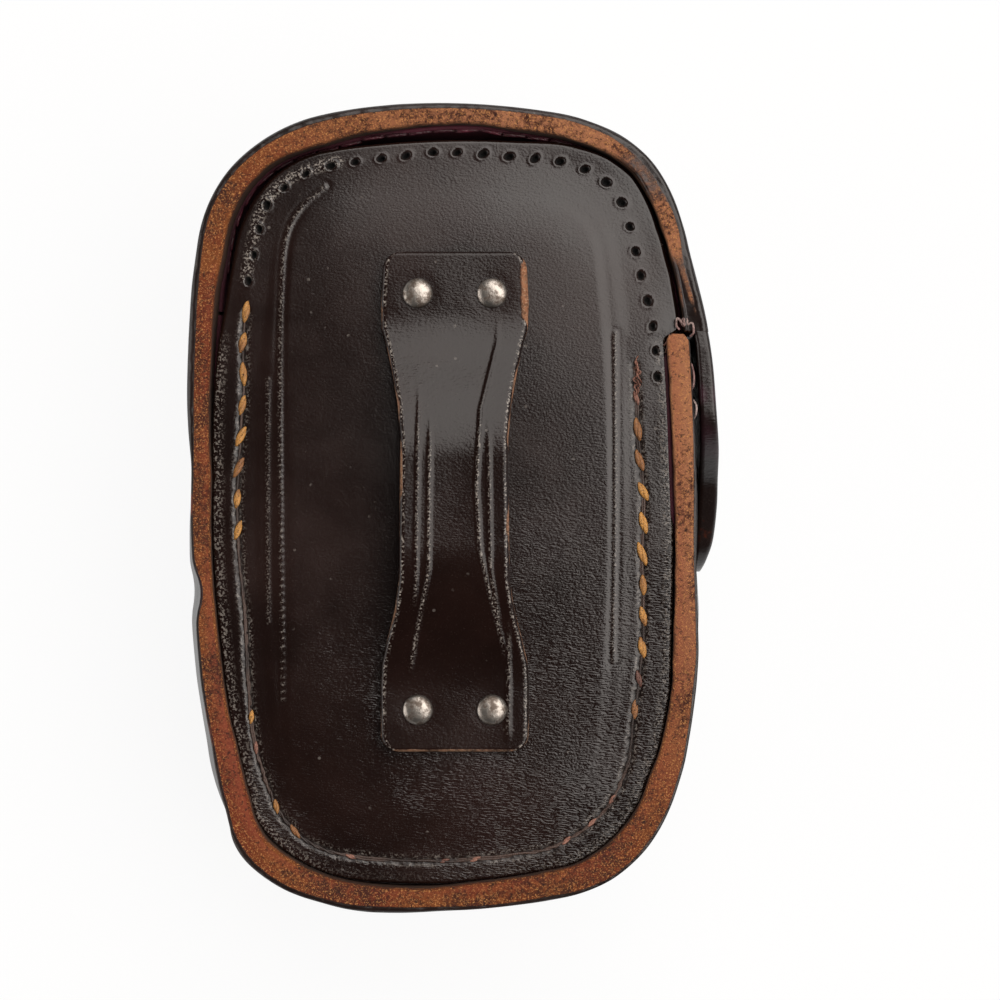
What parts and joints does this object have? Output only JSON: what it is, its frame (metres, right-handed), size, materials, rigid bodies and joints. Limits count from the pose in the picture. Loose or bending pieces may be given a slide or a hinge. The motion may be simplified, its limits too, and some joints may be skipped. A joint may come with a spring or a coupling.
{
  "type": "light meter case",
  "caption": "Moulded leather case for a hand light meter, with a riveted belt loop on its back, a sideways swinging lid and a snap tab.",
  "frame": {"origin": "on the flat front face, under the middle of the case's outline; the case lies on that face", "axes": "+X to the right across the back, towards the snap tab; +Y up the back, towards the lid; +Z from the front face to the back with the belt loop"},
  "size_m": [0.0706, 0.106, 0.0421],
  "materials": {
    "moulded_leather": "moulded vegetable-tanned leather, near-black brown, semi-gloss, raw orange-brown cut edges",
    "panel_leather": "smooth grained leather, near-black brown, satin",
    "strap_leather": "smooth leather, near-black brown, with rubbed tan edges",
    "lining_leather": "thin dark red-purple skiver, matt",
    "board": "pressed grey-brown board, matt",
    "waxed_thread": "waxed linen thread, tan gold, worn",
    "purple_thread": "fine sewing thread, purple",
    "rivet_steel": "dull nickel-plated steel, tarnished",
    "snap_metal": "blackened brass, rubbed"
  },
  "bodies": {
    "body": {"body_shell": "moulded_leather", "body_lining": "lining_leather", "seam_welt": "panel_leather", "back_panel": "panel_leather", "back_board": "board", "back_lining": "lining_leather", "belt_loop": "strap_leather", "loop_rivets": "rivet_steel", "rivet_washers": "rivet_steel", "seam_thread": "waxed_thread", "snap_stud": "snap_metal", "snap_post": "snap_metal"},
    "lid": {"lid_shell": "moulded_leather", "lid_lining": "lining_leather", "lid_thread": "purple_thread"},
    "tab": {"closing_tab": "moulded_leather", "snap_cap": "snap_metal", "snap_socket": "snap_metal", "snap_spring": "snap_metal"}
  },
  "joints": [
    {"name": "lid_swing", "type": "hinge", "parent": "body", "child": "lid", "pos_m": [-0.03266, 0.026, 0.0185], "axis": [0, 0, 1], "range_deg": [0, 115]},
    {"name": "tab_flex", "type": "hinge", "parent": "lid", "child": "tab", "pos_m": [0.03409, 0.0215, 0.017], "axis": [0, 0, 1], "range_deg": [0, 35], "stiffness_Nm_per_rad": 0.02}
  ]
}
